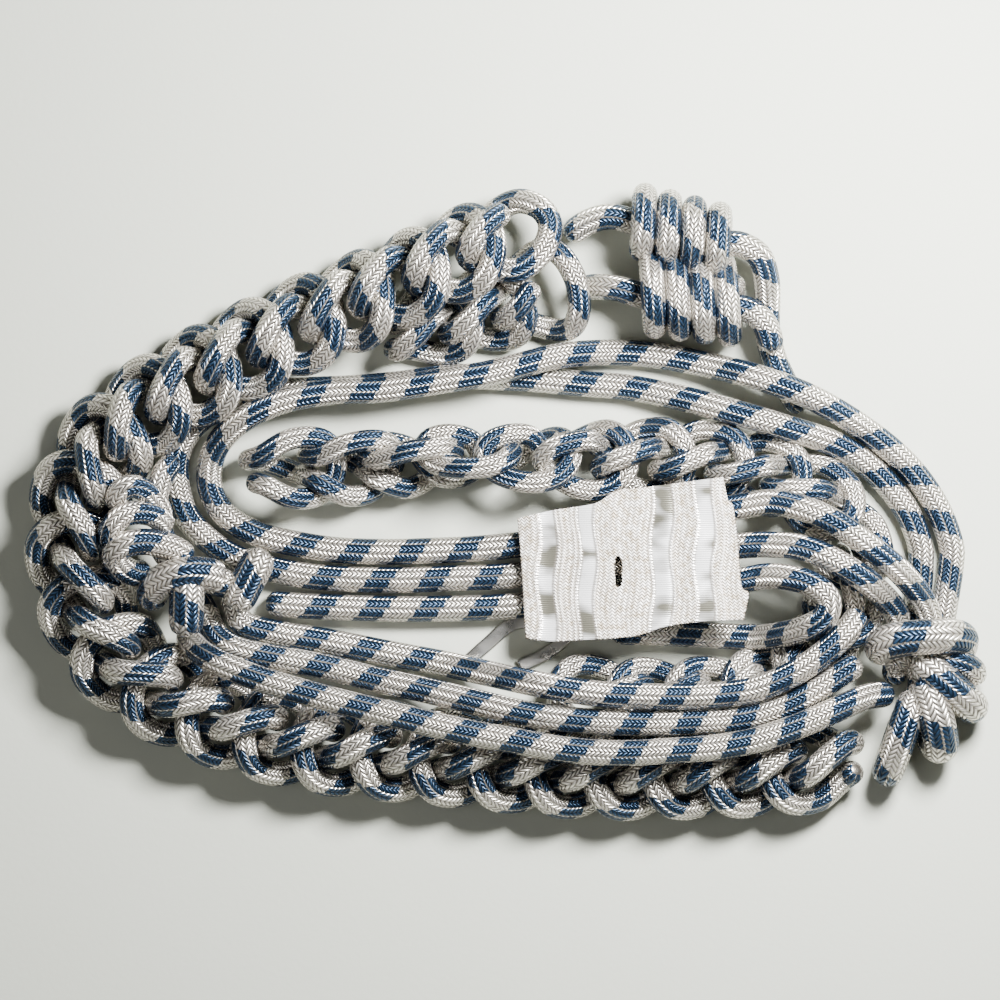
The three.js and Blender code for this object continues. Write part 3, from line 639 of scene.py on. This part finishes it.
def lace_material():
    """Silver lace woven on a loom in bands from top to bottom: matt bands of fine thread, satin bands of wire
    floats and beaded seams between. It gives the eye light stripes with soft glints and grey patches, and a
    fine grain between them. Its colour holds painted light: painted sheen on the satin, white painted glints
    among grey patches of painted reflection, painted shade low between the matt threads, painted highlight on
    the seams' beads, and painted shade in the groove next to each seam. UV is the place across and along the
    bands in mm. Band is 1 on satin. Seam is 1 on the line of a seam, where its beads are painted white as
    highlight, and falls to 0 next to it. The painted shade of its groove is darkest at 1/2."""
    material, tree = new_material("silver_lace_woven_in_bands")
    uv = add(tree, "ShaderNodeUVMap", uv_map="UVMap")
    axes = add(tree, "ShaderNodeSeparateXYZ", [uv])
    x, y = axes.outputs[0], axes.outputs[1]
    satin = add(tree, "ShaderNodeAttribute", attribute_name="band").outputs[2]
    seam = add(tree, "ShaderNodeAttribute", attribute_name="seam").outputs[2]
    zigzag = add(tree, MATH, [x, LACE_COLUMN], operation="PINGPONG")
    zigzag = add(tree, MATH, [y, zigzag], operation="ADD")
    zigzag = ribs(tree, zigzag, LACE_STITCH)
    float_line = add(tree, MATH, [ribs(tree, y, LACE_FLOAT), FLOAT_SHARE], operation="MULTIPLY")
    bead = ribs(tree, y, LACE_BEAD)
    line = add(tree, MATH, [seam, seam], operation="MULTIPLY")
    bead = add(tree, MATH, [bead, line], operation="MULTIPLY")
    seam_groove_shade = add(tree, MATH, [seam, 2.0, -1.0], operation="MULTIPLY_ADD")
    seam_groove_shade = add(tree, MATH, [seam_groove_shade], operation="ABSOLUTE")
    seam_groove_shade = add(tree, MATH, [SEAM_GROOVE_SHADE, seam_groove_shade], operation="SUBTRACT")
    height = add(tree, MIX, {0: satin, "A": zigzag, "B": float_line})
    height = add(tree, MATH, [bead, BEAD_SHARE, height], operation="MULTIPLY_ADD")
    across = add(tree, MATH, [x, SATIN_SHEEN_PATCHES[0]], operation="MULTIPLY")
    down = add(tree, MATH, [y, SATIN_SHEEN_PATCHES[1]], operation="MULTIPLY")
    satin_sheen_patch = add(tree, "ShaderNodeCombineXYZ", [across, down])
    satin_sheen_patch = add(tree, "ShaderNodeTexNoise", {"Vector": satin_sheen_patch, "Scale": 1.0, "Detail": 2.0})
    edges = {"Value": satin_sheen_patch, "From Min": SATIN_SHEEN_EDGES[0], "From Max": SATIN_SHEEN_EDGES[1]}
    satin_sheen_patch = add(tree, "ShaderNodeMapRange", edges)
    stain = add(tree, "ShaderNodeTexNoise", {"Vector": uv, "Scale": MATT_STAINS, "Detail": 4.0})
    edges = {"Value": stain, "From Min": MATT_EDGES[0], "From Max": MATT_EDGES[1]}
    stain = add(tree, "ShaderNodeMapRange", edges)
    thread = add(tree, MIX, {0: stain, FROM: linear("#c3b59f"), TO: linear("#fffcf6")}, data_type="RGBA")
    thread = thread.outputs[MIXED]
    # Painted shade: the matt weave is painted dark where its threads lie low and light on their tops
    matt_with_painted_shade = add(tree, MIX, {0: height, FROM: linear("#473d30"), TO: thread}, data_type="RGBA").outputs[MIXED]
    # Painted sheen on the satin: noise patches of grey painted reflection among white painted glints
    light = add(tree, MIX, {0: satin_sheen_patch, FROM: linear("#6b695e"), TO: linear("#ffffff")}, data_type="RGBA")
    light = light.outputs[MIXED]
    colour = add(tree, MIX, {0: satin, FROM: matt_with_painted_shade, TO: light}, data_type="RGBA").outputs[MIXED]
    # Painted shade in the groove next to each seam
    colour = add(tree, MIX, {0: seam_groove_shade, FROM: colour, TO: linear("#7c7264")}, data_type="RGBA").outputs[MIXED]
    # Painted highlight: the seam's beads painted near white
    colour = add(tree, MIX, {0: bead, FROM: colour, TO: linear("#fffaf4")}, data_type="RGBA").outputs[MIXED]
    metal = add(tree, MATH, [satin, SATIN_METAL - MATT_METAL, MATT_METAL], operation="MULTIPLY_ADD")
    rough = add(tree, MATH, [satin, SATIN_ROUGH - MATT_ROUGH, MATT_ROUGH], operation="MULTIPLY_ADD")
    bump = add(tree, "ShaderNodeBump", {"Strength": 0.8, "Distance": LACE_HIGH * MM, "Height": height})
    shader = add(tree, "ShaderNodeBsdfPrincipled", {
        "Base Color": colour, "Metallic": metal, "Roughness": rough, "Normal": bump,
    })
    add(tree, "ShaderNodeOutputMaterial", [shader])
    return material


def steel_material():
    """Steel strip, bent and polished, dulled with age. It gives the eye a grey sheen with thin glints."""
    material, tree = new_material("polished_steel_strip")
    place = add(tree, "ShaderNodeTexCoord").outputs["Object"]
    wear = add(tree, "ShaderNodeTexNoise", {"Vector": place, "Scale": 250.0, "Detail": 2.0})
    rough = add(tree, "ShaderNodeMapRange", {"Value": wear, "To Min": 0.18, "To Max": 0.4})
    shader = add(tree, "ShaderNodeBsdfPrincipled", {
        "Base Color": linear("#b3b2ae"), "Metallic": 1.0, "Roughness": rough,
    })
    add(tree, "ShaderNodeOutputMaterial", [shader])
    return material


def paper_material():
    """Off-white drawing paper, pressed on felt. It gives the eye a plain pale ground with a faint tooth."""
    material, tree = new_material("off_white_paper_sheet")
    place = add(tree, "ShaderNodeTexCoord").outputs["Object"]
    tooth = add(tree, "ShaderNodeTexNoise", {"Vector": place, "Scale": 700.0, "Detail": 4.0})
    bump = add(tree, "ShaderNodeBump", {"Strength": 0.15, "Distance": 0.0003, "Height": tooth})
    shader = add(tree, "ShaderNodeBsdfPrincipled", {
        "Base Color": linear("#a9aca1"), "Roughness": 0.85, "Normal": bump,
    })
    add(tree, "ShaderNodeOutputMaterial", [shader])
    return material


BRAID = braid_material()
LACE = lace_material()
STEEL = steel_material()
PAPER = paper_material()


# Plain cords
for name, rows in ROUTES.items():
    radius = CORD / 2 * MM
    line = lifted(even(in_frame(smooth(rows)), RING_EVERY * MM), radius)
    piece = make_mesh(name + "_braid", [cord_part(line, radius, CORD_ROUND)], BRAID)
    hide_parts(name)

# Plaits
for name, rows in SPINES.items():
    radius = PLAIT_RADIUS[name] * MM
    line = lifted(even(in_frame(smooth(plait_line(rows))), RING_EVERY * MM), radius)
    piece = make_mesh(name + "_braid", [cord_part(line, radius, PLAIT_ROUND)], BRAID)
    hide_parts(name)

# Knots: the tied ones, and the slide knot, whose strands are its turns. The braid runs on from one strand to
# the next.
strands = dict(KNOTS, slide_knot=[(SLIDE["thin"], rows) for rows in slide_turns()])
for name, tied in strands.items():
    parts = []
    start = 0.0
    for thick, rows in tied:
        radius = thick * MM
        line = lifted(even(in_frame(smooth(rows)), RING_EVERY * MM), radius)
        parts.append(cord_part(line, radius, CORD_ROUND, start))
        start += lengths(line)[-1]
    piece = make_mesh(name + "_braid", parts, BRAID)
    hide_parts(name)


def edge_line(rows, share):
    """The points of a smooth edge at these shares of its length."""
    line = smooth(rows)
    along = lengths(line)
    return np.stack([np.interp(share * along[-1], along, column) for column in line.T], axis=-1)


def lace_tab():
    """A sheet between four edges: (1-v) bottom(u) + v top(u) + (1-u) left(v) + u right(v), less the corners'
    mean. Its middle height is the profile's at its x, plus half its thickness, plus
    high (1 + (sin(2 pi y / long + x / lean) + sin(2 pi x / wide)) / 2).
    The bands sway across the sheet: a band's place is x + far sin(2 pi y / long + x / lean).
    Faces in the slit are left out, where (2 (x - x0) / width)^2 + (2 (y - y0) / length)^4 < 1."""
    s = np.linspace(0, 1, int(TAB_FLAT[1] / TAB_CELL))
    t = np.linspace(0, 1, int(TAB_FLAT[0] / TAB_CELL))
    top, bottom = edge_line(TAB_TOP, s)[:, None], edge_line(TAB_BOTTOM, s)[:, None]
    left, right = edge_line(TAB_LEFT, t)[None], edge_line(TAB_RIGHT, t)[None]
    u, v = s[:, None, None], t[None, :, None]
    flat = (1 - v) * bottom + v * top + (1 - u) * left + u * right - (
        (1 - u) * (1 - v) * bottom[:1] + u * (1 - v) * bottom[-1:] + (1 - u) * v * top[:1] + u * v * top[-1:])
    profile = smooth(TAB_PROFILE)
    x, y = flat[..., 0], flat[..., 1]
    place = x + TAB_SWAY["far"] * np.sin(2 * np.pi * y / TAB_SWAY["long"] + x / TAB_SWAY["lean"])
    wave = np.sin(2 * np.pi * y / TAB_WAVE["long"] + x / TAB_WAVE["lean"])
    wave += np.sin(2 * np.pi * x / TAB_WAVE["wide"])
    z = np.interp(x, profile[:, 0], profile[:, 1]) + TAB_THICK / 2 + TAB_WAVE["high"] * (1 + wave / 2)
    bands = np.array(TAB_BANDS, float)
    number = np.searchsorted(bands[:, 0], place, side="right") - 1
    band = bands[np.clip(number, 0, len(bands) - 1), 1]
    from_seam = np.abs(place[..., None] - bands[1:, 0]).min(axis=-1)
    seam = np.clip(1 - from_seam / TAB_SEAM, 0, 1)
    grid = in_frame(np.stack([x, y, z], axis=-1).reshape(-1, 3))
    i, j = np.meshgrid(np.arange(len(s) - 1), np.arange(len(t) - 1), indexing="ij")
    wide = len(t)
    row, onward = i * wide + j, (i + 1) * wide + j
    quads = np.stack([row, onward, onward + 1, row + 1], axis=-1)
    middle_x = x.ravel()[quads].mean(axis=-1)
    middle_y = y.ravel()[quads].mean(axis=-1)
    slit_x = (middle_x - TAB_SLIT["x"]) / (TAB_SLIT["wide"] / 2)
    slit_y = (middle_y - TAB_SLIT["y"]) / (TAB_SLIT["long"] / 2)
    quads = quads[slit_x ** 2 + slit_y ** 4 >= 1]
    uv = np.stack([place.ravel()[quads], y.ravel()[quads]], axis=-1).reshape(-1, 2)
    piece = make_mesh("lace_tab", [(grid, quads.tolist(), uv)], LACE)
    for name, values in (("band", band), ("seam", seam)):
        layer = piece.data.attributes.new(name, "FLOAT", "POINT")
        layer.data.foreach_set("value", values.ravel().astype(np.float32))
    thick = piece.modifiers.new("thick", "SOLIDIFY")
    thick.thickness = TAB_THICK * MM
    thick.offset = 0
    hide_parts("shoulder_tab")


lace_tab()


def hook_strip():
    """A strip of even width bent in its own plane, with rounded edges: at turn a round it, the point is
    line(s) + across sign(cos a) |cos a|^0.4 width / 2 + up sign(sin a) |sin a|^0.6 thickness / 2."""
    line = even(smooth([(x, y, HOOK_THICK / 2) for x, y in HOOK_LINE]), HOOK_STEP)
    onward = np.gradient(line, axis=0)
    onward /= np.linalg.norm(onward, axis=1)[:, None]
    across = np.stack([-onward[:, 1], onward[:, 0], np.zeros(len(line))], axis=1)
    turn = np.arange(HOOK_ROUND) / HOOK_ROUND * 2 * np.pi
    wide = np.sign(np.cos(turn)) * np.abs(np.cos(turn)) ** 0.4 * HOOK_WIDE / 2
    tall = np.sign(np.sin(turn)) * np.abs(np.sin(turn)) ** 0.6 * HOOK_THICK / 2
    upward = np.array((0, 0, 1.0))
    points = line[:, None] + across[:, None] * wide[None, :, None] + upward * tall[None, :, None]
    faces = closed(tube_quads(len(line), HOOK_ROUND), len(line), HOOK_ROUND)
    uv = np.zeros((sum(len(face) for face in faces), 2))
    piece = make_mesh("steel_hook", [(in_frame(points.reshape(-1, 3)), faces, uv)], STEEL)
    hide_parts("tab_hook")


hook_strip()


# Floor and light

def add_floor():
    """A sheet of paper, far wider than the view."""
    mesh = bpy.data.meshes.new("paper")
    corners = [(x * PAPER_REACH, y * PAPER_REACH, 0) for x, y in ((-1, -1), (1, -1), (1, 1), (-1, 1))]
    mesh.from_pydata(corners, [], [(0, 1, 2, 3)])
    mesh.materials.append(PAPER)
    paper = bpy.data.objects.new("paper", mesh)
    bpy.context.scene.collection.objects.link(paper)


def add_light():
    """A dim even room, a key light near the upper right and a weak fill from the lower left, both aimed at
    the middle of the set."""
    world = bpy.data.worlds.new("room")
    world.use_nodes = True
    background = world.node_tree.nodes["Background"]
    background.inputs[0].default_value = linear("#f4f1ea")
    background.inputs[1].default_value = ROOM_STRENGTH
    bpy.context.scene.world = world
    for name, spot, size, power in LAMPS:
        data = bpy.data.lights.new(name, "AREA")
        data.size = size
        data.energy = power
        light = bpy.data.objects.new(name, data)
        light.location = spot
        light.rotation_euler = Vector(spot).to_track_quat("Z", "Y").to_euler()
        bpy.context.scene.collection.objects.link(light)


add_floor()
add_light()
